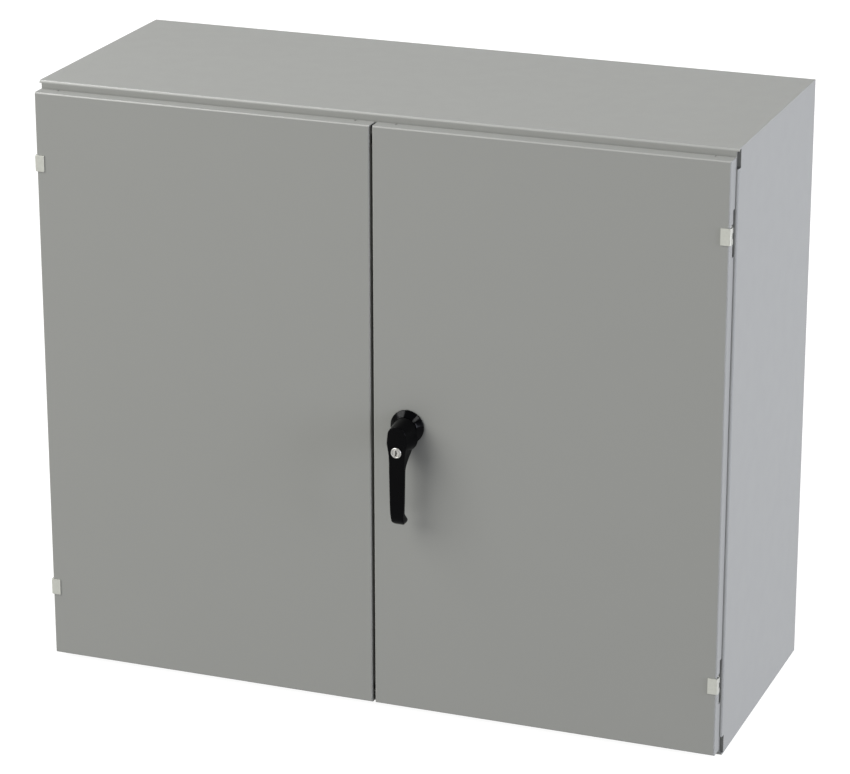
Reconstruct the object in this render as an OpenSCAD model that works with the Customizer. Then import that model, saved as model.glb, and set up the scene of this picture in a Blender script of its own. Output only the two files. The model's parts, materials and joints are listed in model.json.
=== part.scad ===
// Two-door wall-mount electrical cabinet in folded sheet steel.
//
// Row frame, millimetres: X to the right, Y back into the wall, Z up.
// The origin is the centre of the four wall holes, on the back face.
// Distances called "proud" run forward (-Y) from the plane of the front flange.

/* [Cabinet] */
// Outside width of the body
cab_w = 1066.8; // [800:0.1:1500]
// Outside height of the body
cab_h = 914.4; // [700:0.1:1400]
// Depth from the wall face to the front flange
cab_d = 406.4; // [200:0.1:600]
// Sheet thickness of body and doors
sheet = 1.9; // [1.2:0.1:2.2]
// Outside radius of the body's folded front edge
bend_r = 4; // [2.5:0.5:5]
// Distance of the sealing lip from the body's outside faces
lip_inset = 24; // [22:0.5:30]
// How far the sealing lip stands forward of the front flange
lip_h = 17; // [12:0.5:18]
// Height of the relief cut at each front corner of the body
corner_h = 29.2; // [26:0.1:40]
// Depth of that relief cut, back from the front flange
corner_d = 10; // [5:0.5:15]

/* [Wall holes] */
// Distance of each wall hole from the body's edges
wall_hole_inset = 31.75; // [28:0.05:60]
// Radius of a wall hole
wall_hole_r = 5.55; // [3:0.05:8]

/* [Doors] */
// Depth of a door from its front face to the front flange
door_d = 25; // [22:0.5:40]
// Gap between a door's edge and the body's side face
door_side_gap = 3.6; // [2.5:0.1:5]
// Distance of the doors' top edge below the top of the body
door_top_gap = 11.9; // [8:0.1:14]
// Distance of the doors' bottom edge above the bottom of the body
door_bottom_gap = 9.3; // [8:0.1:14]
// Gap between the two doors
door_centre_gap = 4; // [2:0.1:6]
// Outside radius of the door's folded edge
door_bend_r = 2.6; // [2.3:0.1:4]
// Running gap between a door's rear edge and the front flange
door_rear_gap = 1.5; // [1:0.1:3]
// Width of the hem turned in at the rear of a door's edge
hem_w = 7; // [4:0.5:8]
// Length without hem at each corner of a door
hem_corner = 29; // [20:1:60]
// Width of the foam gasket
gasket_w = 10; // [6:0.5:10]
// Gap left between gasket and sealing lip
gasket_gap = 0.3; // [0.2:0.1:1]

/* [Hinges] */
// Distance of each hinge's middle from the top or bottom of the body
hinge_inset = 119.6; // [90:0.1:200]
// Height of a hinge
hinge_h = 24.5; // [20:0.5:40]
// Distance of the hinge pin's axis behind the door's side face
pin_inset = 4; // [3.5:0.1:4]
// Distance of the hinge pin's axis in front of the front flange
pin_proud = 13; // [13:0.1:14]
// Radius of the hinge pin
pin_r = 2.5; // [1.5:0.1:2.5]
// Thickness of the hinge clip
clip_t = 2.5; // [1.5:0.1:2.5]
// Width of the hinge clip on the door's front
clip_w = 15.2; // [12:0.1:25]
// Height of the cut in the door's rear edge around a hinge
hinge_cut_h = 69; // [50:1:100]
// Depth of that cut
hinge_cut_d = 7.6; // [7.6:0.1:9]

/* [Handle] */
// Distance of the handle's axis from the middle of the cabinet
handle_x = 55.5; // [53:0.5:90]
// Length of the lever from its axis to its tip
lever_l = 141; // [100:1:180]
// How far the lever stands off the door
lever_proud = 46.5; // [36:0.5:60]
// Thickness of the lever's grip
grip_t = 8.5; // [6:0.5:12]
// Half width of the grip where it leaves the head
grip_r_top = 12; // [8:0.5:13]
// Half width of the grip at its tip
grip_r_tip = 10; // [7:0.5:12]
// Radius of the round base on the door
base_r = 26; // [22:0.5:30]
// Height of the round base
base_h = 12; // [6:0.5:16]
// Radius of the spindle
spindle_r = 7; // [5:0.1:8]
// Distance of the lock below the handle's axis
lock_drop = 25; // [24:0.5:32]
// Radius of the lock's face
lock_r = 8.2; // [7:0.1:9.5]
// Distance of a cam pin from the handle's axis
crank_r = 20; // [20:0.5:21]
// Radius of a cam pin
cam_pin_r = 4; // [3:0.5:4]

/* [Latch rods] */
// Width of a latch rod
rod_w = 12.7; // [10:0.1:13]
// Thickness of a latch rod
rod_t = 4; // [3:0.5:4]
// Radius of a rod's roller
roller_r = 8; // [6:0.5:8]
// Gap kept between a rod's roller, or a bolt's nose, and the sealing lip
latch_gap = 1.3; // [1:0.1:5]
// Width of a slide bolt on the left door
bolt_w = 14; // [10:0.5:20]
// Thickness of a slide bolt
bolt_t = 5; // [3:0.5:6]
// Length of a slide bolt
bolt_l = 150; // [110:1:200]
// Distance of the slide bolts from the middle of the cabinet
bolt_x = 52; // [45:0.5:90]

/* [Inside] */
// Gap between the mounting panel's edges and the outside of the cabinet
panel_gap = 38.1; // [25:0.1:80]
// Thickness of the mounting panel
panel_t = 2.7; // [1.9:0.1:4]
// Distance from the inside of the back to the mounting panel
panel_standoff = 27.4; // [15:0.1:60]
// Radius of a panel stud
stud_r = 4.75; // [3:0.05:6]
// Inset of the studs from the panel's edges
stud_inset = 44; // [35:1:80]
// Half width of the centre post
post_r = 24; // [22:0.5:26]
// Distance of the door stiffener from the middle of the cabinet
stiffener_x = 130; // [120:1:250]
// Gap between the document pocket and the door's hinged edge
pocket_side_gap = 60; // [55:1:150]
// Height of the document pocket
pocket_h = 190; // [100:1:250]
// Depth of the document pocket
pocket_d = 32; // [20:1:40]
// Wall of the document pocket
pocket_wall = 2.5; // [2:0.1:4]

/* [Hidden] */
$fn = 64;

// Small gap between flat pieces that slide on each other
slide_gap = 0.4;
// Radial clearance of a pin that turns in its bore
run_gap = 0.06;
// Radial clearance of a fastener in its hole
hole_gap = 0.3;
// Extra length of a cutting tool past the face it cuts
cut = 1;

half_w = cab_w / 2;
half_h = cab_h / 2;
front_y = -cab_d;
lip_x = half_w - lip_inset;
lip_z = half_h - lip_inset;
lip_bend_r = 3;
open_x = lip_x - sheet;
open_z = lip_z - sheet;

door_x = half_w - door_side_gap;
door_centre_x = door_centre_gap / 2;
door_z0 = -half_h + door_bottom_gap;
door_z1 = half_h - door_top_gap;
door_in = door_d - sheet;
nick_w = 2.5;
nick_d = 5;
rim_gap = 1.2;
stiffener_w = 30;
stiffener_d = 22;
stiffener_foot = 14;
stiffener_end = 70;
pocket_inner_gap = 40;
pocket_drop = 60;

hinge_z = half_h - hinge_inset;
pin_x = door_x - pin_inset;
knuckle_r = 4;
knuckle_gap = 0.3;
neck_t = 2.2;
slot_over = 2.2;
pin_head_t = 1.5;
knuckle_h = (hinge_h - 2 * knuckle_gap) / 3;
clip_proud = 1.5;
leaf_t = 2.5;
leaf_gap = 2.4;
leaf_h = hinge_cut_h - 10;
arm_t = 3;
arm_x = 9;

door_front_y = front_y - door_d;
lever_back_y = door_front_y - base_h - slide_gap;
lever_front_y = door_front_y - lever_proud;
base_top_r = 18;
barrel_r = 12;
barrel_gap = 0.3;
nut_t = 8;
nut_r = 20;
seal_t = 1;
head_r_back = 19.5;
head_r_front = 15.3;
head_drop = 12.5;
tip_hook = 23;
tip_l = 13;
lock_proud = 2;
plug_r = lock_r - 2.4;
lock_depth = 22;
lock_shelf = 3;
neck_start = lock_drop + 12;
neck_end = lock_drop + 36;
grip_start = lock_drop + 14;
key_w = 1.8;
key_l = 8.5;
key_d = 6;

cam_t = 4;
cam_y = front_y + 2;
cam_r = crank_r + cam_pin_r + 3;
rod_y = cam_y + cam_t + 2.2;
crank_z = crank_r * sin(45);
crank_x0 = crank_r * cos(45);
rod_dx = (crank_r + crank_x0) / 2;
pin_play = 0.85;
yoke_wall = 2.4;
yoke_half = cam_pin_r + pin_play + 4;
yoke_x = (crank_r - crank_x0) / 2 + cam_pin_r + slide_gap + yoke_wall;
cam_screw_r = 5.8;
cam_screw_h = 4;
pin_over = 0.6;
cap_t = 1.5;

rod_mid_y = rod_y + rod_t / 2;
roller_w = 6;
roller_z = open_z - latch_gap - roller_r;
fork_w = 16;
fork_t = 11;
roller_pin_r = 2.5;
guide_t = 3;
guide_zs = [110, roller_z - 82];
guide_wall = 3;
guide_foot = 20;

bolt_y = front_y + 3;
bolt_z1 = open_z - latch_gap;
knob_r = 7;
knob_h = 16;

panel_w = cab_w - 2 * panel_gap;
panel_h = cab_h - 2 * panel_gap;
panel_y = -sheet - panel_standoff - panel_t;
panel_flange = 15;
panel_clip = 34;
washer_t = 1.6;
stud_nut_t = 8;
stud_nut_r = 9;
stud_end = 4;
stud_shoulder = 4;

ground_stud_r = 4;
ground_stud_l = 26;
ground_stud_z = -half_h + 90;
ground_washer_r = 9;
ground_washer_t = 1.5;
ground_nut_r = 7.5;
ground_nut_t = 6.5;
door_stud_r = 3;
door_stud_l = 16;
door_stud_inset = 60;

post_wall_z = open_z - slide_gap;
bracket_t = 3;
bracket_h = 34;
bracket_lap = 16;
post_web_y = front_y + sheet + bracket_t;
screw_r = 3;
screw_head_r = 5.5;
screw_head_t = 2;

// ---------- shared shapes ----------

// Maps a drawing's (x, y) to (Y, Z) and pulls it out along X.
module pull_x(x0, x1)
    translate([x0, 0, 0]) rotate([90, 0, 90]) linear_extrude(x1 - x0) children();

// Round bar along Y, from y0 back to y1.
module bar_y(r, y0, y1)
    translate([0, y1, 0]) rotate([90, 0, 0]) cylinder(r = r, h = y1 - y0);

// Bar with six flats along Y.
module hex_y(r, y0, y1)
    translate([0, y1, 0]) rotate([90, 0, 0]) cylinder(r = r, h = y1 - y0, $fn = 6);

// Round bar along X.
module bar_x(r, x0, x1)
    translate([x0, 0, 0]) rotate([0, 90, 0]) cylinder(r = r, h = x1 - x0);

// Block from its two opposite corners.
module block(a, b)
    translate(a) cube(b - a);

// Places children at both signs of Z.
module top_and_bottom() {
    children();
    mirror([0, 0, 1]) children();
}

// Quarter of a tube's section, centred on c and open to the quadrant (sx, sy).
module fold(c, r, sx, sy)
    translate(c) intersection() {
        difference() {
            circle(r);
            circle(r - sheet);
        }
        translate([sx < 0 ? -r : 0, sy < 0 ? -r : 0]) square(r);
    }

// Section of a body sheet: x runs back from the front flange, y inwards from the outside face.
module folded_section(depth) {
    c2 = [sheet - lip_bend_r, lip_inset + sheet - lip_bend_r];
    translate([bend_r, 0]) square([depth - bend_r, sheet]);
    fold([bend_r, bend_r], bend_r, -1, -1);
    translate([0, bend_r]) square([sheet, c2[1] - bend_r]);
    fold(c2, lip_bend_r, 1, 1);
    translate([-lip_h, lip_inset]) square([lip_h + c2[0], sheet]);
}

// ---------- cabinet body ----------

module back_sheet() color("darkgray") difference() {
    block([-half_w + sheet, -sheet, -half_h + sheet], [half_w - sheet, 0, half_h - sheet]);
    for (x = [-1, 1], z = [-1, 1])
        translate([x * (half_w - wall_hole_inset), 0, z * (half_h - wall_hole_inset)])
            bar_y(wall_hole_r, -sheet - cut, cut);
}

module top_sheet() color("darkgray") difference() {
    pull_x(-half_w, half_w) translate([front_y, half_h]) mirror([0, 1]) folded_section(cab_d);
    for (s = [-1, 1]) {
        // the lip stops between the side lips
        block([s < 0 ? -half_w - cut : open_x, front_y - lip_h - cut, 0],
              [s < 0 ? -open_x : half_w + cut, front_y + 2 * lip_inset, lip_z]);
        // relief cut at the corner
        block([s < 0 ? -half_w - cut : door_x, front_y - cut, 0],
              [s < 0 ? -door_x : half_w + cut, front_y + corner_d, half_h - bend_r]);
        // the forward lip never reaches past the side lip
        block([s < 0 ? -half_w - cut : open_x, front_y - lip_h - cut, 0],
              [s < 0 ? -open_x : half_w + cut, front_y, half_h]);
    }
}

module bottom_sheet() mirror([0, 0, 1]) top_sheet();

module left_side_sheet() color("darkgray") {
    inner_h = half_h - sheet;
    difference() {
        translate([-half_w, front_y, -inner_h]) linear_extrude(2 * inner_h)
            mirror([1, -1, 0]) folded_section(cab_d);
        top_and_bottom() {
            block([-half_w - cut, front_y - lip_h - cut, half_h - corner_h],
                  [-door_x, front_y + corner_d, half_h]);
            block([-half_w + sheet, front_y - lip_h - cut, lip_z],
                  [-open_x + cut, front_y + corner_d, half_h]);
            block([-half_w - cut, front_y - lip_h - cut, lip_z],
                  [-half_w + sheet + cut, front_y + corner_d, half_h]);
        }
    }
    // gusset that closes each front corner
    top_and_bottom()
        block([-half_w, front_y + corner_d, half_h - corner_h],
              [-lip_x, front_y + corner_d + sheet, inner_h]);
}

module right_side_sheet() mirror([1, 0, 0]) left_side_sheet();

// Channel open to the front, between the sealing lips at top and bottom.
module centre_post() color("darkgray") difference() {
    block([-post_r, front_y - lip_h, -post_wall_z], [post_r, post_web_y + sheet, post_wall_z]);
    block([-post_r + sheet, front_y - lip_h - cut, -post_wall_z - cut],
          [post_r - sheet, post_web_y, post_wall_z + cut]);
    post_screw_places() bar_y(screw_r + hole_gap, front_y, post_web_y + sheet + cut);
}

module post_screw_places()
    for (x = [-12, 12], z = [-1, 1])
        translate([x, 0, z * (open_z - bracket_h / 2)]) children();

// Plates behind the front flange that the post is screwed to, top and bottom.
module post_brackets() color("silver") {
    bx = post_r - sheet - slide_gap;
    difference() {
        top_and_bottom()
            block([-bx, front_y + sheet, open_z - bracket_h], [bx, post_web_y, open_z + bracket_lap]);
        post_screw_places() bar_y(screw_r + hole_gap, front_y, post_web_y + cut);
    }
}

module post_screws() color("silver") post_screw_places() {
    bar_y(screw_r, front_y + sheet - 1, post_web_y + sheet + 6);
    bar_y(screw_head_r, front_y + sheet - screw_head_t, front_y + sheet);
    hex_y(screw_head_r, post_web_y + sheet, post_web_y + sheet + 4.5);
}

// ---------- mounting panel ----------

module stud_places()
    for (x = [-1, 1], z = [-1, 1])
        translate([x * (panel_w / 2 - stud_inset), 0, z * (panel_h / 2 - stud_inset)]) children();

module mounting_panel() color("white") difference() {
    union() {
        translate([0, panel_y + panel_t, 0]) rotate([90, 0, 0]) linear_extrude(panel_t) panel_outline();
        for (s = [-1, 1])
            block([s < 0 ? -panel_w / 2 : panel_w / 2 - panel_t, panel_y, -panel_h / 2 + panel_clip],
                  [s < 0 ? -panel_w / 2 + panel_t : panel_w / 2, panel_y + panel_flange,
                   panel_h / 2 - panel_clip]);
    }
    stud_places() bar_y(stud_r + hole_gap, panel_y - cut, panel_y + panel_t + cut);
}

module panel_outline() {
    w = panel_w / 2;
    h = panel_h / 2;
    c = panel_clip;
    polygon([[-w, -h + c], [-w + c, -h], [w - c, -h], [w, -h + c],
             [w, h - c], [w - c, h], [-w + c, h], [-w, h - c]]);
}

// Threaded studs welded to the back, with the shoulder that the panel sits on.
module panel_studs() color("silver") stud_places() {
    bar_y(stud_r, panel_y - washer_t - stud_nut_t - stud_end, -sheet);
    bar_y(stud_r + stud_shoulder, panel_y + panel_t, -sheet);
}

module panel_washers() color("silver") stud_places() difference() {
    bar_y(stud_nut_r + 2, panel_y - washer_t, panel_y);
    bar_y(stud_r + hole_gap, panel_y - washer_t - cut, panel_y + cut);
}

module panel_nuts() color("silver") stud_places() difference() {
    hex_y(stud_nut_r, panel_y - washer_t - stud_nut_t, panel_y - washer_t);
    bar_y(stud_r + run_gap, panel_y - washer_t - stud_nut_t - cut, panel_y - washer_t + cut);
}

module ground_stud_place()
    translate([-half_w + sheet, -cab_d / 3, ground_stud_z]) children();

module ground_stud() color("goldenrod") ground_stud_place()
    bar_x(ground_stud_r, 0, ground_stud_l);

module ground_nut() color("goldenrod") ground_stud_place() difference() {
    union() {
        bar_x(ground_washer_r, 0, ground_washer_t);
        translate([ground_washer_t, 0, 0]) rotate([0, 90, 0])
            cylinder(r = ground_nut_r, h = ground_nut_t, $fn = 6);
    }
    bar_x(ground_stud_r + run_gap, -cut, ground_washer_t + ground_nut_t + cut);
}

// ---------- hinges ----------

module hinge_places(s)
    for (z = [-1, 1]) translate([s * pin_x, front_y - pin_proud, z * hinge_z]) children();

module knuckle(z0, z1) difference() {
    translate([0, 0, z0]) cylinder(r = knuckle_r, h = z1 - z0);
    translate([0, 0, z0 - cut]) cylinder(r = pin_r + run_gap, h = z1 - z0 + 2 * cut);
}

// Leaf on the body: middle knuckle, cranked arm and plate on the front flange.
module right_hinge_leaves() color("darkgray") hinge_places(1) mirror([1, 0, 0]) {
    k = knuckle_h / 2;
    knuckle(-k, k);
    difference() {
        union() {
            block([1, 1, -k], [arm_x, 1 + arm_t, k]);
            block([arm_x - arm_t, 1, -k], [arm_x, pin_proud, k]);
        }
        translate([0, 0, -k - cut]) cylinder(r = pin_r + run_gap, h = 2 * k + 2 * cut);
    }
    block([2, pin_proud - leaf_t, -leaf_h / 2],
          [lip_inset - door_side_gap - pin_inset - leaf_gap, pin_proud, leaf_h / 2]);
}

module left_hinge_leaves() mirror([1, 0, 0]) right_hinge_leaves();

module hinge_pins() color("silver") for (s = [-1, 1]) hinge_places(s) {
    translate([0, 0, -hinge_h / 2]) cylinder(r = pin_r, h = hinge_h + 0.3);
    translate([0, 0, hinge_h / 2 + 0.3]) cylinder(r = pin_r + 1.2, h = pin_head_t);
}

// Clip on the door: plate on the front, fold round the edge, two knuckles.
module right_hinge_clips() color("lightgray") hinge_places(1) mirror([1, 0, 0]) {
    h = hinge_h / 2;
    k = knuckle_h / 2 + knuckle_gap;
    x0 = -pin_inset - clip_t;
    y0 = pin_proud - door_d - clip_proud;
    r = clip_t - 0.2;
    block([x0 + r, y0, -h], [x0 + clip_w, pin_proud - door_d, h]);
    block([x0, y0 + r, -h], [-pin_inset, -knuckle_r - neck_t, h]);
    intersection() {
        translate([x0 + r, y0 + r, -h]) cylinder(r = r, h = 2 * h);
        block([x0, y0, -h], [x0 + r, y0 + r, h]);
    }
    block([x0 + r, y0 + clip_proud, -h], [-pin_inset, y0 + r, h]);
    for (z = [[-h, -k], [k, h]]) {
        difference() {
            block([x0, -knuckle_r - neck_t, z[0]], [0, -knuckle_r + 1.2, z[1]]);
            translate([0, 0, z[0] - cut]) cylinder(r = pin_r + run_gap, h = 2 * h);
        }
        knuckle(z[0], z[1]);
    }
}

module left_hinge_clips() mirror([1, 0, 0]) right_hinge_clips();

// ---------- doors ----------

// Outline with its two front corners rounded: x across, y forward from 0 to d.
module round_front(a, b, d, r) {
    translate([a, 0]) square([b - a, d - r]);
    translate([a + r, d - r]) square([b - a - 2 * r, r]);
    for (x = [a + r, b - r]) translate([x, d - r]) circle(r);
}

// Right door: folded pan, hems at top, bottom and centre, cut for the hinges.
module door_pan() {
    rear = cab_d + door_rear_gap;
    front = cab_d + door_d;
    corner_xs = [[door_centre_x + sheet, door_centre_x + hem_corner],
                 [door_x - hem_corner, door_x - sheet]];
    corner_zs = [[door_z0 + sheet, door_z0 + hem_corner], [door_z1 - hem_corner, door_z1 - sheet]];
    difference() {
        pan(door_centre_x, door_x, door_z0, door_z1, rear, front, door_bend_r);
        pan(door_centre_x + sheet, door_x - sheet, door_z0 + sheet, door_z1 - sheet,
            rear + sheet, front - sheet, door_bend_r - sheet);
        // mouth of the pan, inside the hems; no hem on the hinge side
        block([door_centre_x + sheet + hem_w, -rear - sheet - cut, door_z0 + sheet + hem_w],
              [door_x - sheet, -rear + cut, door_z1 - sheet - hem_w]);
        // corners without hem
        for (x = corner_xs, z = corner_zs)
            block([x[0], -rear - sheet - cut, z[0]], [x[1], -rear + cut, z[1]]);
        // small reliefs where the hems start
        for (x = [door_centre_x + hem_corner, door_x - hem_corner], z = [door_z0, door_z1])
            block([x - nick_w / 2, -rear - nick_d, z - sheet - cut],
                  [x + nick_w / 2, -rear + cut, z + sheet + cut]);
        // the centre flange stops short of the sealing lips, down to a narrow rim
        for (z = corner_zs)
            block([door_centre_x - cut, front_y - lip_h - rim_gap, z[0]],
                  [door_centre_x + sheet + cut, -rear + cut, z[1]]);
        // hinge side: long cut at the rear edge, and a slot behind the clip
        for (z = [-hinge_z, hinge_z]) {
            block([door_x - sheet - cut, -rear - hinge_cut_d, z - hinge_cut_h / 2],
                  [door_x + cut, -rear + cut, z + hinge_cut_h / 2]);
            block([door_x - sheet - cut, front_y - pin_proud - knuckle_r - neck_t - slide_gap,
                   z - hinge_h / 2 - slot_over],
                  [door_x + cut, -rear + cut, z + hinge_h / 2 + slot_over]);
        }
    }
}

// Block with rounded front edges; y0 and y1 are distances in front of the wall face.
module pan(x0, x1, z0, z1, y0, y1, r) intersection() {
    translate([0, -y0, z0]) linear_extrude(z1 - z0)
        mirror([0, 1]) round_front(x0, x1, y1 - y0, r);
    pull_x(x0, x1) translate([-y0, 0]) rotate(90) round_front(z0, z1, y1 - y0, r);
}

module left_door_skin() color("darkgray") mirror([1, 0, 0]) door_pan();

module right_door_skin() color("darkgray") difference() {
    door_pan();
    translate([handle_x, 0, 0]) bar_y(barrel_r + barrel_gap, -cab_d - door_d - cut, -cab_d);
}

// Foam strip all round the inside of a door, facing the sealing lips.
module right_gasket() color("dimgray") {
    g = gasket_w / 2;
    x0 = post_r - sheet / 2;
    x1 = open_x + sheet / 2;
    z1 = open_z + sheet / 2;
    difference() {
        block([x0 - g, front_y - door_in, -z1 - g], [x1 + g, front_y - lip_h - gasket_gap, z1 + g]);
        block([x0 + g, front_y - door_in - cut, -z1 + g], [x1 - g, front_y - lip_h + cut, z1 - g]);
    }
}

module left_gasket() mirror([1, 0, 0]) right_gasket();

// Hat channel welded upright inside a door.
module right_stiffener() color("darkgray") {
    w = stiffener_w;
    d = stiffener_d;
    foot = stiffener_foot;
    z = door_z1 - stiffener_end;
    y = front_y - door_in;
    translate([stiffener_x, 0, 0]) {
        for (s = [-1, 1]) {
            block([s < 0 ? -w / 2 - foot : w / 2 - sheet, y, -z],
                  [s < 0 ? -w / 2 + sheet : w / 2 + foot, y + sheet, z]);
            block([s < 0 ? -w / 2 : w / 2 - sheet, y, -z], [s < 0 ? -w / 2 + sheet : w / 2, y + d, z]);
        }
        block([-w / 2, y + d - sheet, -z], [w / 2, y + d, z]);
    }
}

module left_stiffener() mirror([1, 0, 0]) right_stiffener();

module right_ground_stud() color("goldenrod")
    translate([door_x - door_stud_inset, 0, door_z0 + door_stud_inset])
        bar_y(door_stud_r, front_y - door_in, front_y - door_in + door_stud_l);

module left_ground_stud() mirror([1, 0, 0]) right_ground_stud();

// Open-topped tray for drawings, on the left door.
module document_pocket() color("dimgray") {
    x0 = -door_x + pocket_side_gap;
    x1 = -stiffener_x - pocket_inner_gap;
    w = x1 - x0;
    y0 = front_y - door_in;
    z0 = -pocket_h - pocket_drop;
    t = pocket_wall;
    difference() {
        block([x0, y0, z0], [x1, y0 + pocket_d, z0 + pocket_h]);
        block([x0 + t, y0 + t, z0 + t], [x1 - t, y0 + pocket_d - t, z0 + pocket_h + cut]);
        // lower front edge, so that the papers can be gripped
        block([x0 + w * 0.3, y0 + pocket_d / 2, z0 + pocket_h * 0.7],
              [x1 - w * 0.3, y0 + pocket_d + cut, z0 + pocket_h + cut]);
    }
}

// ---------- slide bolts on the left door ----------

// Flat bolt with a turned knob, drawn back from the lip at rest.
module upper_bolt_shape() color("silver") {
    translate([-bolt_x, 0, 0]) {
        block([-bolt_w / 2, bolt_y, bolt_z1 - bolt_l], [bolt_w / 2, bolt_y + bolt_t, bolt_z1]);
        translate([0, 0, bolt_z1 - bolt_l / 2]) {
            bar_y(knob_r - 3, bolt_y + bolt_t - 0.5, bolt_y + bolt_t + knob_h);
            bar_y(knob_r, bolt_y + bolt_t + 6, bolt_y + bolt_t + knob_h);
        }
    }
}

module left_upper_bolt() upper_bolt_shape();

module left_lower_bolt() mirror([0, 0, 1]) upper_bolt_shape();

// Angle bracket on a door, with a slot that a flat bar slides through.
module bar_guide(bar_w, bar_y0, bar_y1) {
    y0 = front_y - door_in;
    w = bar_w + 2 * (slide_gap + guide_wall);
    difference() {
        union() {
            block([-w / 2, y0, -guide_foot], [w / 2, y0 + guide_t, guide_t / 2]);
            block([-w / 2, y0, -guide_t / 2], [w / 2, bar_y1 + 5, guide_t / 2]);
        }
        block([-bar_w / 2 - slide_gap, bar_y0 - slide_gap, -guide_t],
              [bar_w / 2 + slide_gap, bar_y1 + slide_gap, guide_t]);
    }
}

module left_bolt_guides() color("silver") top_and_bottom()
    for (z = [bolt_z1 - bolt_l + 25, bolt_z1 - 36])
        translate([-bolt_x, 0, z]) bar_guide(bolt_w, bolt_y, bolt_y + bolt_t);

// ---------- latch rods on the right door ----------

// Upper rod, retracting downwards: yoke at the cam, flat bar, fork for the roller.
module rod_shape() {
    top = roller_z - roller_r - 4;
    translate([handle_x - rod_dx, rod_y, crank_z]) difference() {
        union() {
            block([-yoke_x, 0, -yoke_half], [yoke_x, rod_t, yoke_half]);
            block([-rod_w / 2, 0, 0], [rod_w / 2, rod_t, top - crank_z]);
        }
        yoke_slot();
    }
    translate([handle_x - rod_dx, rod_mid_y, 0]) difference() {
        block([-fork_w / 2, -fork_t / 2, top - 8], [fork_w / 2, fork_t / 2, roller_z + 4]);
        block([-roller_w / 2 - slide_gap, -fork_t, top - 1],
              [roller_w / 2 + slide_gap, fork_t, roller_z + 5]);
        translate([0, 0, roller_z]) bar_x(roller_pin_r + run_gap, -fork_w, fork_w);
    }
}

// Slot for the cam pin: round ends, long across the rod.
module yoke_slot() {
    half = (crank_r - crank_x0) / 2 + slide_gap - pin_play;
    r = cam_pin_r + pin_play;
    for (x = [-half, half]) translate([x, 0, 0]) bar_y(r, -cut, rod_t + cut);
    block([-half, -cut, -r], [half, rod_t + cut, r]);
}

module upper_rod() color("silver") rod_shape();

// The lower rod is the upper one turned half a turn about the handle's axis.
module half_turn()
    translate([handle_x, 0, 0]) rotate([0, 180, 0]) translate([-handle_x, 0, 0]) children();

module lower_rod() color("silver") half_turn() rod_shape();

module roller_shape() translate([handle_x - rod_dx, rod_mid_y, roller_z]) difference() {
    bar_x(roller_r, -roller_w / 2, roller_w / 2);
    bar_x(roller_pin_r + run_gap, -roller_w, roller_w);
}

module upper_roller() color("ivory") roller_shape();

module lower_roller() color("ivory") half_turn() roller_shape();

module roller_pin_shape() translate([handle_x - rod_dx, rod_mid_y, roller_z]) {
    bar_x(roller_pin_r, -fork_w / 2 - 0.3, fork_w / 2 + 0.3);
    for (s = [-1, 1]) translate([s * (fork_w / 2 + 1.05), 0, 0]) bar_x(roller_pin_r + 1.3, -0.75, 0.75);
}

module upper_roller_pin() color("silver") roller_pin_shape();

module lower_roller_pin() color("silver") half_turn() roller_pin_shape();

module rod_guides() color("silver") for (z = guide_zs) {
    translate([handle_x - rod_dx, 0, z]) bar_guide(rod_w, rod_y, rod_y + rod_t);
    half_turn() translate([handle_x - rod_dx, 0, z]) bar_guide(rod_w, rod_y, rod_y + rod_t);
}

// ---------- handle ----------

module at_handle() translate([handle_x, 0, 0]) children();

// Round base with its threaded barrel through the door.
module handle_base() color("black") at_handle() difference() {
    union() {
        translate([0, door_front_y - seal_t, 0]) rotate([90, 0, 0])
            cylinder(r1 = base_r, r2 = base_top_r, h = base_h - seal_t);
        bar_y(barrel_r, door_front_y - seal_t - 1, front_y - door_in + nut_t + 2);
    }
    bar_y(spindle_r + run_gap, door_front_y - base_h - cut, front_y);
}

module handle_seal() color("dimgray") at_handle() difference() {
    bar_y(base_r - 1, door_front_y - seal_t, door_front_y);
    bar_y(barrel_r + barrel_gap, door_front_y - seal_t - cut, door_front_y + cut);
}

module handle_nut() color("silver") at_handle() difference() {
    hex_y(nut_r, front_y - door_in, front_y - door_in + nut_t);
    bar_y(barrel_r + run_gap, front_y - door_in - cut, front_y - door_in + nut_t + cut);
}

// Cast lever: conical head on the base, grip hanging down, tip turned back to the door.
module lever() color("black") at_handle() difference() {
    union() {
        h = lever_back_y - lever_front_y;
        translate([0, lever_back_y, 0]) rotate([90, 0, 0])
            cylinder(r1 = base_top_r, r2 = head_r_front - 1, h = h);
        translate([0, lever_back_y, -head_drop]) rotate([90, 0, 0])
            cylinder(r1 = head_r_back, r2 = head_r_front, h = h);
        translate([0, lever_front_y + grip_t, 0]) rotate([90, 0, 0])
            linear_extrude(grip_t) grip_outline();
        translate([0, lever_front_y + tip_hook, 0]) rotate([90, 0, 0])
            linear_extrude(tip_hook) tip_outline();
        lever_neck();
    }
    translate([0, 0, -lock_drop])
        bar_y(lock_r + run_gap, lever_front_y - cut, lever_front_y + lock_depth);
}

// Front outline of the grip, straight tapered sides and a rounded tip.
module grip_outline() {
    r = 6;
    polygon([[-head_r_front, -head_drop], [-grip_r_top, -grip_start], [-grip_r_tip, -lever_l + r],
             [-grip_r_tip + r, -lever_l], [grip_r_tip - r, -lever_l], [grip_r_tip, -lever_l + r],
             [grip_r_top, -grip_start], [head_r_front, -head_drop]]);
}

module tip_outline() intersection() {
    grip_outline();
    translate([-grip_r_top, -lever_l]) square([2 * grip_r_top, tip_l]);
}

// Thick stretch behind the lock, sloping from the head to the grip.
module lever_neck()
    translate([-grip_r_top, 0, 0]) rotate([90, 0, 90]) linear_extrude(2 * grip_r_top)
        polygon([[lever_back_y, -head_drop], [lever_front_y + 1, -head_drop],
                 [lever_front_y + 1, -neck_end], [lever_front_y + grip_t, -neck_end],
                 [lever_front_y + lock_depth + 3, -neck_start],
                 [lever_back_y, -head_drop - head_r_back + 4]]);

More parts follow.
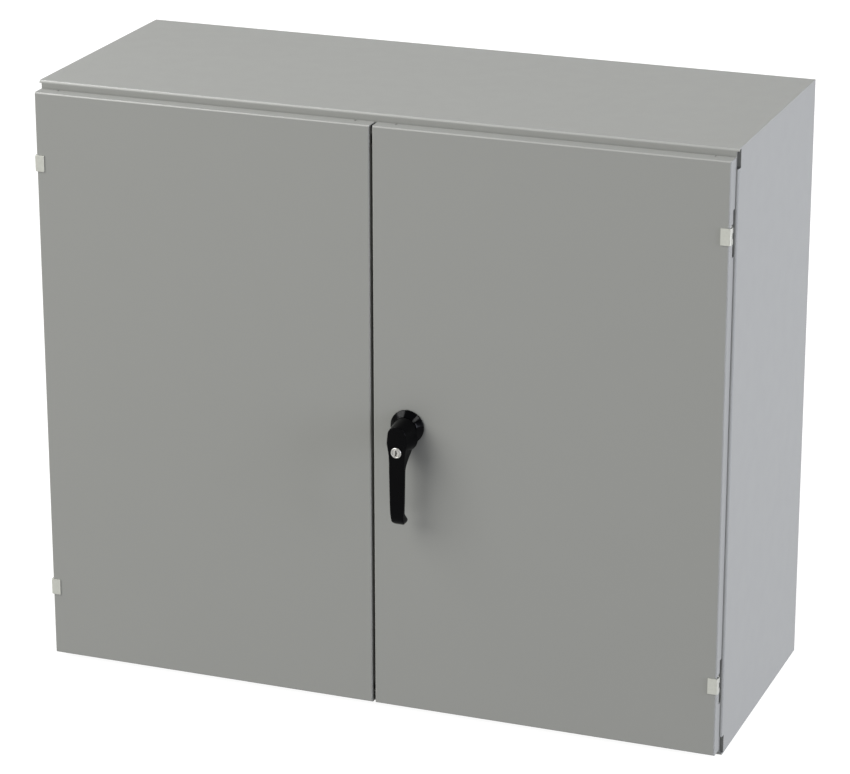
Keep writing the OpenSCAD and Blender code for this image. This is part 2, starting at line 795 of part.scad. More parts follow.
module at_lock() translate([handle_x, 0, -lock_drop]) children();

module lock_housing() color("silver") at_lock() difference() {
    bar_y(lock_r, lever_front_y - lock_proud, lever_front_y + lock_depth);
    bar_y(plug_r + run_gap, lever_front_y - lock_proud - cut, lever_front_y + lock_depth - lock_shelf);
}

module lock_plug() color("silver") at_lock() difference() {
    bar_y(plug_r, lever_front_y - lock_proud, lever_front_y + lock_depth - lock_shelf - slide_gap);
    block([-key_w / 2, lever_front_y - lock_proud - cut, -key_l / 2],
          [key_w / 2, lever_front_y - lock_proud + key_d, key_l / 2]);
}

// Spindle from the lever through the door to the cam plate.
module spindle() color("silver") at_handle() difference() {
    bar_y(spindle_r, lever_back_y, cam_y);
    bar_y(screw_r + hole_gap, cam_y - 14, cam_y + cut);
}

// Disc with an oval rim that carries the two cam pins.
module cam_plate() color("silver") at_handle() difference() {
    bar_y(cam_r, cam_y, cam_y + cam_t);
    bar_y(screw_r + hole_gap, cam_y - cut, cam_y + cam_t + cut);
    cam_pin_places() bar_y(cam_pin_r + run_gap, cam_y - cut, cam_y + cam_t + cut);
}

module cam_pin_places()
    for (a = [135, -45]) translate([crank_r * cos(a), 0, crank_r * sin(a)]) children();

module cam_pins() color("silver") at_handle() cam_pin_places() {
    bar_y(cam_pin_r, cam_y, rod_y + rod_t + pin_over);
    bar_y(cam_pin_r + 1.4, rod_y + rod_t + pin_over, rod_y + rod_t + pin_over + cap_t);
}

module cam_screw() color("silver") at_handle() {
    bar_y(screw_r, cam_y - 12, cam_y + cam_t + 0.5);
    hex_y(cam_screw_r, cam_y + cam_t, cam_y + cam_t + cam_screw_h);
}

back_sheet();
top_sheet();
bottom_sheet();
left_side_sheet();
right_side_sheet();
centre_post();
post_brackets();
post_screws();
mounting_panel();
panel_studs();
panel_washers();
panel_nuts();
ground_stud();
ground_nut();
left_hinge_leaves();
right_hinge_leaves();
hinge_pins();
left_door_skin();
left_gasket();
left_stiffener();
left_hinge_clips();
document_pocket();
left_bolt_guides();
left_ground_stud();
left_upper_bolt();
left_lower_bolt();
right_door_skin();
right_gasket();
right_stiffener();
right_hinge_clips();
rod_guides();
right_ground_stud();
handle_base();
handle_seal();
handle_nut();
lever();
lock_housing();
lock_plug();
spindle();
cam_plate();
cam_pins();
cam_screw();
upper_rod();
upper_roller();
upper_roller_pin();
lower_rod();
lower_roller();
lower_roller_pin();
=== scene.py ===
"""Two-door wall cabinet in folded sheet steel: its finishes, its fittings and the studio around it."""

import json
import logging
import math
from dataclasses import dataclass
from enum import Enum
from typing import Any, Callable, Sequence

import bmesh
import bpy
from mathutils import Matrix, Vector

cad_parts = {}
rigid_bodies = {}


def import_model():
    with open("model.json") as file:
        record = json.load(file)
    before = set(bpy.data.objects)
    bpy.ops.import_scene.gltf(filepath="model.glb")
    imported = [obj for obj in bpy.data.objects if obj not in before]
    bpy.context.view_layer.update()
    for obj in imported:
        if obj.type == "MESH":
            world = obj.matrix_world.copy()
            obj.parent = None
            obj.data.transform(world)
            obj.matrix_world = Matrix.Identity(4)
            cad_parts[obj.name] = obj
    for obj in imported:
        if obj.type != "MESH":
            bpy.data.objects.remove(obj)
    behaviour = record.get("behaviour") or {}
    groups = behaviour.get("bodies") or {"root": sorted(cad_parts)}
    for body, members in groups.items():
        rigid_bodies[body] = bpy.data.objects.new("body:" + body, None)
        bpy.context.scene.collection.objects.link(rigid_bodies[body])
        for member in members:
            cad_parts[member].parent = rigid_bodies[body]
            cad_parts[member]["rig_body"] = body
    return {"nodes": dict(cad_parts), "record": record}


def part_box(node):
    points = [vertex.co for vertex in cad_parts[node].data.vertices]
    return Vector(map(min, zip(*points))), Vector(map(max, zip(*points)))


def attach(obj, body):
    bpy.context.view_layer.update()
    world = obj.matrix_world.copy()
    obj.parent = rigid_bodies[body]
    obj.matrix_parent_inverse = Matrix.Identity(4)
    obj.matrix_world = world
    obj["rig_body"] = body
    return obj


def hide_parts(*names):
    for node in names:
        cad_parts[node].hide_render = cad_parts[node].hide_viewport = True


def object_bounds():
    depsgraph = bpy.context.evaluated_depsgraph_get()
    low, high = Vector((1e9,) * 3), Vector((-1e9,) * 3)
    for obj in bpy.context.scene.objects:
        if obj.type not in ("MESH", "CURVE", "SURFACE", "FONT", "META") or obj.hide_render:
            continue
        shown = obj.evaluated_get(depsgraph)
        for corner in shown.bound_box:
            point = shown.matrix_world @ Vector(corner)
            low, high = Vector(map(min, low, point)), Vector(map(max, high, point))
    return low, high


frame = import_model()
CAD_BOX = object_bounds()

LOG = logging.getLogger("cabinet")
MM = 0.001
SLOT_OF = {part["node"]: part["material_slot"] for part in frame["record"]["subparts"]}
BODY_OF = {name: node["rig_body"] for name, node in frame["nodes"].items()}


# ---------- shapes, in millimetres ----------

Point2 = tuple[float, float]
Step = tuple[str, dict[str, Any]]


class Facing(Enum):
    """Which way a turned part's axis points in the cabinet."""

    FORWARD = "forward"
    BACK = "back"
    RIGHT = "right"

    def turn(self) -> Matrix:
        """The turn that brings a part drawn along Z to this way.

        Returns:
            The rotation.
        """
        return {
            Facing.FORWARD: Matrix.Rotation(math.pi / 2, 4, "X"),
            Facing.BACK: Matrix.Rotation(-math.pi / 2, 4, "X"),
            Facing.RIGHT: Matrix.Rotation(math.pi / 2, 4, "Y"),
        }[self]


@dataclass
class Shape:
    """Points in millimetres and the faces between them."""

    points: list[Vector]
    faces: list[tuple[int, ...]]

    def moved(self, place: Matrix) -> "Shape":
        """The same shape at another place."""
        return Shape([place @ p for p in self.points], list(self.faces))

    def __add__(self, other: "Shape") -> "Shape":
        """Both shapes as one."""
        start = len(self.points)
        more = [tuple(i + start for i in face) for face in other.faces]
        return Shape(self.points + other.points, self.faces + more)

    def mesh(self, name: str) -> bpy.types.Mesh:
        """Turns the shape into a mesh with its faces looking outwards.

        Args:
            name: The mesh's name.

        Returns:
            The new mesh, in the shape's own units.
        """
        made = bpy.data.meshes.new(name)
        made.from_pydata([tuple(p) for p in self.points], [], self.faces)
        work = bmesh.new()
        work.from_mesh(made)
        bmesh.ops.remove_doubles(work, verts=work.verts, dist=1e-6)
        bmesh.ops.recalc_face_normals(work, faces=work.faces)
        work.to_mesh(made)
        work.free()
        return made


def worked(shape: Shape, steps: Sequence[Step]) -> Shape:
    """Runs a stack of modifiers over a shape.

    Args:
        shape: The shape to start from.
        steps: Each modifier's kind and its settings; a Shape among them becomes an object.

    Returns:
        The finished shape.
    """
    helpers = []

    def as_object(source: Shape, name: str) -> bpy.types.Object:
        """The shape as an object that is removed afterwards."""
        made = bpy.data.objects.new(name, source.mesh(name))
        bpy.context.scene.collection.objects.link(made)
        helpers.append(made)
        return made

    blank = as_object(shape, "blank")
    for kind, settings in steps:
        modifier = blank.modifiers.new(kind, kind)
        for key, value in settings.items():
            setattr(modifier, key, as_object(value, "tool") if isinstance(value, Shape) else value)
    graph = bpy.context.evaluated_depsgraph_get()
    result = blank.evaluated_get(graph).to_mesh()
    done = Shape([v.co.copy() for v in result.vertices], [tuple(p.vertices) for p in result.polygons])
    for helper in helpers:
        bpy.data.meshes.remove(helper.data)
    return done


def less(tool: Shape) -> Step:
    """A step that cuts a shape away."""
    return ("BOOLEAN", {"operation": "DIFFERENCE", "object": tool, "solver": "EXACT"})


def common(tool: Shape) -> Step:
    """A step that keeps what lies in both shapes."""
    return ("BOOLEAN", {"operation": "INTERSECT", "object": tool, "solver": "EXACT"})


def fused(tool: Shape) -> Step:
    """A step that adds a shape."""
    return ("BOOLEAN", {"operation": "UNION", "object": tool, "solver": "EXACT"})


def loft(rings: Sequence[Sequence[Vector]], capped: bool = True) -> Shape:
    """Skins a row of closed rings that have equally many points.

    Args:
        rings: The rings, in order.
        capped: Whether the first and last rings are closed by a face; without it they are joined.

    Returns:
        The closed shape.
    """
    count = len(rings[0])
    points = [p for ring in rings for p in ring]
    faces: list[tuple[int, ...]] = []
    pairs = len(rings) - 1 if capped else len(rings)
    for row in range(pairs):
        a, b = row * count, (row + 1) % len(rings) * count
        for i in range(count):
            j = (i + 1) % count
            faces.append((a + i, a + j, b + j, b + i))
    if capped:
        faces.append(tuple(reversed(range(count))))
        faces.append(tuple(range((len(rings) - 1) * count, len(rings) * count)))
    return Shape(points, faces)


def lathe(profile: Sequence[Point2], closed: bool = False, segments: int = 64) -> Shape:
    """Turns a profile round the Z axis.

    Args:
        profile: Radius and height of each point, from the first end to the last.
        closed: Whether the profile is a loop, as for a ring with a bore.
        segments: How many facets go round.

    Returns:
        The turned shape.
    """
    turns = [math.tau * i / segments for i in range(segments)]
    rings = [[Vector((r * math.cos(t), r * math.sin(t), h)) for t in turns] for r, h in profile]
    return loft(rings, capped=not closed)


def prism(outline: Sequence[Point2], z0: float, z1: float) -> Shape:
    """Pulls an outline up from z0 to z1."""
    return loft([[Vector((x, y, z)) for x, y in outline] for z in (z0, z1)])


def arc(centre: Point2, radius: float, start: float, end: float, steps: int) -> list[Point2]:
    """Points on an arc between two angles in degrees, both ends included."""
    angles = [math.radians(start + (end - start) * i / steps) for i in range(steps + 1)]
    return [(centre[0] + radius * math.cos(a), centre[1] + radius * math.sin(a)) for a in angles]


def round_rectangle(low: Point2, high: Point2, radii: Sequence[float], steps: int = 8) -> list[Point2]:
    """Outline of a rectangle with a radius at each corner.

    Args:
        low: Lowest corner.
        high: Highest corner.
        radii: Radii at the lower left, lower right, upper right and upper left corner.
        steps: Facets in each corner.

    Returns:
        The outline, anticlockwise.
    """
    (x0, y0), (x1, y1) = low, high
    corners = [
        ((x0 + radii[0], y0 + radii[0]), 180.0),
        ((x1 - radii[1], y0 + radii[1]), 270.0),
        ((x1 - radii[2], y1 - radii[2]), 0.0),
        ((x0 + radii[3], y1 - radii[3]), 90.0),
    ]
    outline: list[Point2] = []
    for (centre, start), radius in zip(corners, radii):
        outline += arc(centre, radius, start, start + 90, steps)
    return outline


def threaded_bar(radius: float, length: float, pitch: float, chamfer: float = 0.8) -> Shape:
    """Bar with a cut thread, standing on Z 0.

    Args:
        radius: Radius over the thread.
        length: Length of the bar.
        pitch: Distance between the crests.
        chamfer: Size of the chamfer on the free end.

    Returns:
        The bar.
    """
    root = radius - 0.6 * pitch
    profile: list[Point2] = [(radius, 0.0)]
    height = pitch
    while height < length - chamfer - pitch:
        profile += [
            (radius, height),
            (root, height + 0.42 * pitch),
            (root, height + 0.58 * pitch),
            (radius, height + 0.96 * pitch),
        ]
        height += pitch
    profile += [(radius, length - chamfer), (radius - chamfer, length)]
    return lathe(profile, segments=40)


def hex_nut(radius: float, height: float, bore: float, washer_face: float = 0.4) -> Shape:
    """Hexagon nut with chamfered corners, a washer face and a threaded bore, standing on Z 0.

    Args:
        radius: Distance of the corners from the axis.
        height: Height of the nut.
        bore: Radius of the bore.
        washer_face: Height of the round face under the hexagon.

    Returns:
        The nut.
    """
    flat = radius * math.cos(math.pi / 6)
    drop = (radius - flat) * 0.58 + 0.2
    turns = [math.tau * i / 6 for i in range(6)]
    corners = [(radius * math.cos(t), radius * math.sin(t)) for t in turns]
    turned = lathe([
        (flat * 0.95, 0.0), (flat * 0.95, washer_face), (flat * 0.97, washer_face),
        (radius + 0.5, washer_face + drop), (radius + 0.5, height - drop), (flat * 0.97, height),
    ], segments=96)
    groove = 0.35
    thread: list[Point2] = [(bore + 0.7, -1.0), (bore + 0.7, 0.0), (bore, 0.7)]
    level = 0.7
    while level < height - 1.6:
        thread += [(bore + groove, level + 0.5), (bore, level + 1.0)]
        level += 1.0
    thread += [(bore, height - 0.7), (bore + 0.7, height), (bore + 0.7, height + 1.0)]
    return worked(prism(corners, 0.0, height), [common(turned), less(lathe(thread, segments=48))])


def solids_of(node: str) -> list[tuple[Vector, Vector]]:
    """Finds the separate solids of a CAD node.

    Args:
        node: The node's name.

    Returns:
        The lowest and highest corner of each solid, in millimetres, lowest and leftmost first.
    """
    work = bmesh.new()
    work.from_mesh(frame["nodes"][node].data)
    bmesh.ops.remove_doubles(work, verts=work.verts, dist=1e-5)
    left = set(work.verts)
    boxes = []
    while left:
        stack = [left.pop()]
        spots = []
        while stack:
            vert = stack.pop()
            spots.append(vert.co / MM)
            for edge in vert.link_edges:
                other = edge.other_vert(vert)
                if other in left:
                    left.remove(other)
                    stack.append(other)
        low = Vector([min(s[k] for s in spots) for k in range(3)])
        high = Vector([max(s[k] for s in spots) for k in range(3)])
        boxes.append((low, high))
    work.free()
    return sorted(boxes, key=lambda box: (round(box[0].z), round(box[0].x)))


def box_mm(node: str) -> tuple[Vector, Vector]:
    """Lowest and highest corner of a CAD node, in millimetres."""
    low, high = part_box(node)
    return low / MM, high / MM


# ---------- finishes ----------

Socket = bpy.types.NodeSocket


def linear(hex_colour: str) -> tuple[float, float, float, float]:
    """Turns an sRGB colour written as #rrggbb to the linear values that a shader takes.

    Args:
        hex_colour: The colour.

    Returns:
        Red, green, blue and alpha.
    """
    parts = [int(hex_colour[i:i + 2], 16) / 255 for i in (1, 3, 5)]
    rgb = [c / 12.92 if c <= 0.04045 else ((c + 0.055) / 1.055) ** 2.4 for c in parts]
    return (rgb[0], rgb[1], rgb[2], 1.0)


def add_node(
    tree: bpy.types.NodeTree,
    kind: str,
    settings: dict[str | int, Any] | None = None,
    links: dict[str | int, Socket] | None = None,
) -> bpy.types.Node:
    """Adds a node with its settings and links.

    Args:
        tree: The node tree.
        kind: The node's type.
        settings: Values of its inputs, by name or number, or of its own properties.
        links: What each linked input takes its value from.

    Returns:
        The node.
    """
    made = tree.nodes.new(kind)
    for key, value in (settings or {}).items():
        if isinstance(key, int) or key in made.inputs:
            made.inputs[key].default_value = value
        else:
            setattr(made, key, value)
    for key, socket in (links or {}).items():
        tree.links.new(socket, made.inputs[key])
    return made


class Coat:
    """A material being built: its shader, its place on the part and the bumps so far."""

    def __init__(self, name: str, settings: dict[str, Any]) -> None:
        """Starts a material.

        Args:
            name: The material's name.
            settings: Values of the shader that are the same all over the surface.
        """
        self.material = bpy.data.materials.new(name)
        self.material.use_nodes = True
        self.tree = self.material.node_tree
        self.tree.nodes.clear()
        self.shader = add_node(self.tree, "ShaderNodeBsdfPrincipled", settings)
        add_node(self.tree, "ShaderNodeOutputMaterial", links={"Surface": self.shader.outputs["BSDF"]})
        self.place = add_node(self.tree, "ShaderNodeTexCoord").outputs["Object"]

    def stretched(self, ratios: tuple[float, float, float]) -> Socket:
        """The place on the part with each axis scaled, for a pattern that runs one way.

        Args:
            ratios: What each axis is multiplied by.

        Returns:
            The scaled place.
        """
        return add_node(
            self.tree, "ShaderNodeVectorMath", {"operation": "MULTIPLY", 1: ratios}, {0: self.place}
        ).outputs[0]

    def cloud(self, size_mm: float, detail: float = 2.0, place: Socket | None = None) -> Socket:
        """Soft random pattern.

        Args:
            size_mm: Size of one patch.
            detail: How many finer layers it has.
            place: Where it is read, if not straight from the part.

        Returns:
            The pattern's value, 0 to 1.
        """
        settings = {"Scale": 1 / (size_mm * MM), "Detail": detail, "Roughness": 0.5}
        links = {"Vector": place or self.place}
        return add_node(self.tree, "ShaderNodeTexNoise", settings, links).outputs[0]

    def cells(self, size_mm: float) -> Socket:
        """Pattern of closed cells, such as foam; its value is the distance to a cell's middle.

        Args:
            size_mm: Size of one cell.

        Returns:
            The pattern's value.
        """
        return add_node(
            self.tree, "ShaderNodeTexVoronoi", {"Scale": 1 / (size_mm * MM)}, {"Vector": self.place}
        ).outputs[0]

    def raise_by(self, height: Socket, depth_mm: float) -> None:
        """Adds a bump to the surface.

        Args:
            height: The bump's height, 0 to 1.
            depth_mm: How far its highest points stand over its lowest.
        """
        links = {"Height": height}
        if self.shader.inputs["Normal"].is_linked:
            links["Normal"] = self.shader.inputs["Normal"].links[0].from_socket
        bump = add_node(self.tree, "ShaderNodeBump", {"Distance": depth_mm * MM}, links)
        self.tree.links.new(bump.outputs[0], self.shader.inputs["Normal"])

    def colour_between(self, first: str, second: str, pattern: Socket) -> None:
        """Lets the colour drift between two colours with a pattern.

        Args:
            first: Colour where the pattern is 0, as #rrggbb.
            second: Colour where it is 1.
            pattern: The pattern.
        """
        mix = add_node(
            self.tree,
            "ShaderNodeMix",
            {"data_type": "RGBA", 6: linear(first), 7: linear(second)},
            {0: pattern},
        )
        self.tree.links.new(mix.outputs[2], self.shader.inputs["Base Color"])

    def roughness_round(self, middle: float, drift: float, pattern: Socket) -> None:
        """Lets the roughness drift with a pattern.

        Args:
            middle: The roughness in the middle of its range.
            drift: How far it goes to either side.
            pattern: The pattern, whose values lie mostly between 0.3 and 0.7.
        """
        span = add_node(
            self.tree,
            "ShaderNodeMapRange",
            {"From Min": 0.3, "From Max": 0.7, "To Min": middle - drift, "To Max": middle + drift},
            {"Value": pattern},
        )
        self.tree.links.new(span.outputs[0], self.shader.inputs["Roughness"])


@dataclass(frozen=True)
class Finish:
    """What the finishes share: a name, two near colours and how rough the surface is."""

    name: str
    colour: str
    shade: str
    roughness: float
    drift: float

    def material(self) -> bpy.types.Material:
        """The finish as a material, made once."""
        return bpy.data.materials.get(self.name) or self.make()

    def make(self) -> bpy.types.Material:
        """Makes the material."""
        raise NotImplementedError


@dataclass(frozen=True)
class PowderCoat(Finish):
    """Polyester powder, baked on steel: even satin colour with a faint orange peel."""

    peel_mm: float = 1.8
    peel_depth_mm: float = 0.012

    def make(self) -> bpy.types.Material:
        """Makes the material.

        Returns:
            The material.
        """
        coat = Coat(self.name, {"IOR": 1.5})
        # powder of 30 to 50 micron grains flows to waves about 2 mm long, as fine as the peel shows
        coat.raise_by(coat.cloud(self.peel_mm, 1.0), self.peel_depth_mm)
        # sheet steel is never dead flat: waves a hand wide and a hundredth of a millimetre deep
        coat.raise_by(coat.cloud(160.0, 0.0), 0.006)
        coat.colour_between(self.shade, self.colour, coat.cloud(90.0))
        coat.roughness_round(self.roughness, self.drift, coat.cloud(30.0))
        return coat.material


@dataclass(frozen=True)
class ZincPlate(Finish):
    """Electroplated zinc on turned or pressed steel: soft silver with fine scratches one way."""

    scratch_mm: float = 0.35
    scratch_run: float = 14.0

    def make(self) -> bpy.types.Material:
        """Makes the material.

        Returns:
            The material.
        """
        coat = Coat(self.name, {"Metallic": 1.0})
        along = coat.stretched((1.0, 1.0, 1.0 / self.scratch_run))
        lines = coat.cloud(self.scratch_mm, 3.0, along)
        coat.raise_by(lines, 0.004)
        coat.colour_between(self.shade, self.colour, coat.cloud(7.0))
        coat.roughness_round(self.roughness, self.drift, lines)
        return coat.material


@dataclass(frozen=True)
class DieCast(Finish):
    """Pressure die-cast zinc, tumbled and left bare: dull, slightly mottled grey metal."""

    pit_mm: float = 0.5

    def make(self) -> bpy.types.Material:
        """Makes the material.

        Returns:
            The material.
        """
        coat = Coat(self.name, {"Metallic": 0.85})
        coat.raise_by(coat.cloud(self.pit_mm, 3.0), 0.012)
        mottle = coat.cloud(3.5, 3.0)
        coat.colour_between(self.shade, self.colour, mottle)
        coat.roughness_round(self.roughness, self.drift, mottle)
        return coat.material


@dataclass(frozen=True)
class GlossEnamel(Finish):
    """Black stoving enamel over a zinc casting: deep black with a hard, clear shine."""

    flow_mm: float = 3.5

    def make(self) -> bpy.types.Material:
        """Makes the material.

        Returns:
            The material.
        """
        coat = Coat(self.name, {"IOR": 1.5, "Specular IOR Level": 0.04})
        coat.raise_by(coat.cloud(self.flow_mm, 1.0), 0.004)
        coat.colour_between(self.shade, self.colour, coat.cloud(20.0))
        coat.roughness_round(self.roughness, self.drift, coat.cloud(9.0, 3.0))
        return coat.material


@dataclass(frozen=True)
class Foam(Finish):
    """Poured polyurethane foam: a matt black skin over fine closed cells."""

    cell_mm: float = 0.9

    def make(self) -> bpy.types.Material:
        """Makes the material.

        Returns:
            The material.
        """
        coat = Coat(self.name, {"IOR": 1.45, "Sheen Weight": 0.12, "Sheen Roughness": 0.6})
        # real cells are near 0.3 mm; they are drawn three times as coarse, so that they show
        coat.raise_by(coat.cells(self.cell_mm), 0.12)
        coat.raise_by(coat.cloud(14.0), 0.4)
        coat.colour_between(self.shade, self.colour, coat.cells(self.cell_mm * 2))
        coat.roughness_round(self.roughness, self.drift, coat.cloud(5.0))
        return coat.material


@dataclass(frozen=True)
class Moulded(Finish):
    """Injection-moulded plastic with a spark-eroded texture: even colour, broken highlights."""

    spark_mm: float = 0.6
    depth_mm: float = 0.02
    glow: float = 0.0

    def make(self) -> bpy.types.Material:
        """Makes the material.

        Returns:
            The material.
        """
        coat = Coat(self.name, {"IOR": 1.49, "Subsurface Weight": self.glow, "Subsurface Scale": 0.002})
        coat.raise_by(coat.cloud(self.spark_mm, 3.0), self.depth_mm)
        coat.colour_between(self.shade, self.colour, coat.cloud(25.0))
        coat.roughness_round(self.roughness, self.drift, coat.cloud(2.0))
        return coat.material


GREY_COAT = PowderCoat("grey_powder_coat", "#868784", "#858683", 0.44, 0.012)
WHITE_COAT = PowderCoat("white_powder_coat", "#e9e9e4", "#e4e4df", 0.38, 0.04)
ZINC = ZincPlate("bright_zinc_plate", "#c9c9c3", "#b7b8b4", 0.3, 0.07)
BRASS = ZincPlate("bare_brass", "#c9a25a", "#b58d4a", 0.28, 0.07, scratch_mm=0.3)
NICKEL = ZincPlate("satin_nickel", "#aeada9", "#a3a29e", 0.34, 0.05, scratch_mm=0.2, scratch_run=3.0)
CAST_ZINC = DieCast("bare_die_cast_zinc", "#b9bab3", "#a9aaa3", 0.42, 0.07)
BLACK_ENAMEL = GlossEnamel("black_stoving_enamel", "#040405", "#030304", 0.12, 0.02)
FOAM = Foam("black_pour_foam", "#1e1e1f", "#151516", 0.88, 0.06)
NEOPRENE = Moulded("black_neoprene", "#1b1b1c", "#161617", 0.62, 0.06)
POLYSTYRENE = Moulded("grey_black_polystyrene", "#2c2d2f", "#27282a", 0.42, 0.06, spark_mm=0.8)
NYLON = Moulded("natural_nylon", "#d9d3c2", "#d0c9b6", 0.4, 0.05, spark_mm=1.2, depth_mm=0.01, glow=0.15)

FINISH_OF_SLOT = {
    "cabinet_powder_coat": GREY_COAT,
    "panel_white": WHITE_COAT,
    "zinc_plate": ZINC,
    "clip_zinc": CAST_ZINC,
    "brass": BRASS,
    "foam_gasket": FOAM,
    "seal_rubber": NEOPRENE,
    "handle_black": BLACK_ENAMEL,
    "lock_nickel": NICKEL,
    "pocket_plastic": POLYSTYRENE,
    "roller_nylon": NYLON,
}


# ---------- pieces ----------


def soften(piece: bpy.types.Object, edge_mm: float, weld: bool = False) -> None:
    """Breaks a piece's sharp edges and shades its flats flat.

    Args:
        piece: The piece.
        edge_mm: Width of the broken edge; 0 leaves the edges as they are.
        weld: Whether its faces come with points of their own and are joined first.
    """
    mesh = piece.data
    mesh.polygons.foreach_set("use_smooth", [True] * len(mesh.polygons))
    if weld:
        join = piece.modifiers.new("join", "WELD")
        join.merge_threshold = 1e-5
    if edge_mm > 0:
        edge = piece.modifiers.new("broken_edges", "BEVEL")
        edge.width = edge_mm * MM
        edge.segments = 2
        edge.limit_method = "ANGLE"
        edge.angle_limit = math.radians(32)
        edge.miter_outer = "MITER_ARC"
    else:
        mesh.set_sharp_from_angle(angle=math.radians(32))
    flats = piece.modifiers.new("flat_faces", "WEIGHTED_NORMAL")
    flats.keep_sharp = edge_mm <= 0
    flats.weight = 80


def add_piece(name: str, shape: Shape, node: str, edge_mm: float = 0.0) -> bpy.types.Object:
    """Adds a finished piece that stands for a CAD node.

    Args:
        name: The piece's name.
        shape: Its shape, in millimetres in the cabinet's frame.
        node: The CAD node it stands for; body, slot and finish are that node's.
        edge_mm: Width of its broken edges.

    Returns:
        The piece.
    """
    mesh = shape.moved(Matrix.Scale(MM, 4)).mesh(name)
    piece = bpy.data.objects.new(name, mesh)
    bpy.context.scene.collection.objects.link(piece)
    mesh.materials.append(FINISH_OF_SLOT[SLOT_OF[node]].material())
    soften(piece, edge_mm)
    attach(piece, BODY_OF[node])
    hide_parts(node)
    LOG.info("%s stands for %s on %s, %d faces", name, node, BODY_OF[node], len(mesh.polygons))
    return piece


def dress(node: str, edge_mm: float) -> None:
    """Gives a CAD node its finish and breaks its sharp edges.

    Args:
        node: The node's name.
        edge_mm: Width of the broken edges.
    """
    piece = frame["nodes"][node]
    piece.data.materials.clear()
    piece.data.materials.append(FINISH_OF_SLOT[SLOT_OF[node]].material())
    soften(piece, edge_mm, weld=True)
    LOG.info("%s keeps its shape, in %s", node, SLOT_OF[node])


def axis_place(facing: Facing, x: float, y: float, z: float) -> Matrix:
    """Place of a turned part that stands at a point and looks a way."""
    return Matrix.Translation((x, y, z)) @ facing.turn()


def seat(facing: Facing, box: tuple[Vector, Vector], y: float | None = None) -> Matrix:
    """Place of a turned part in the middle of a box.

    Args:
        facing: Which way the part looks.
        box: Lowest and highest corner.
        y: Where it stands along Y, if not in the middle.

    Returns:
        The place.
    """
    low, high = box
    depth = (low.y + high.y) / 2 if y is None else y
    return axis_place(facing, (low.x + high.x) / 2, depth, (low.z + high.z) / 2)


@dataclass
class SheetMetal:
    """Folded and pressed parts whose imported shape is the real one."""

    sheet_edge: float = 0.25
    fitting_edge: float = 0.35
    sheets: tuple[str, ...] = (
        "back_sheet", "top_sheet", "bottom_sheet", "left_side_sheet", "right_side_sheet",
        "centre_post", "left_door_skin", "right_door_skin", "left_stiffener", "right_stiffener",
        "mounting_panel",
    )
    fittings: tuple[str, ...] = (
        "post_brackets", "left_hinge_leaves", "right_hinge_leaves", "left_hinge_clips",
        "right_hinge_clips", "left_bolt_guides", "rod_guides", "upper_rod", "lower_rod",
        "cam_plate", "spindle",
    )

    def build(self) -> None:
        """Dresses every sheet and fitting."""
        for node in self.sheets:
            dress(node, self.sheet_edge)
        for node in self.fittings:
            dress(node, self.fitting_edge)


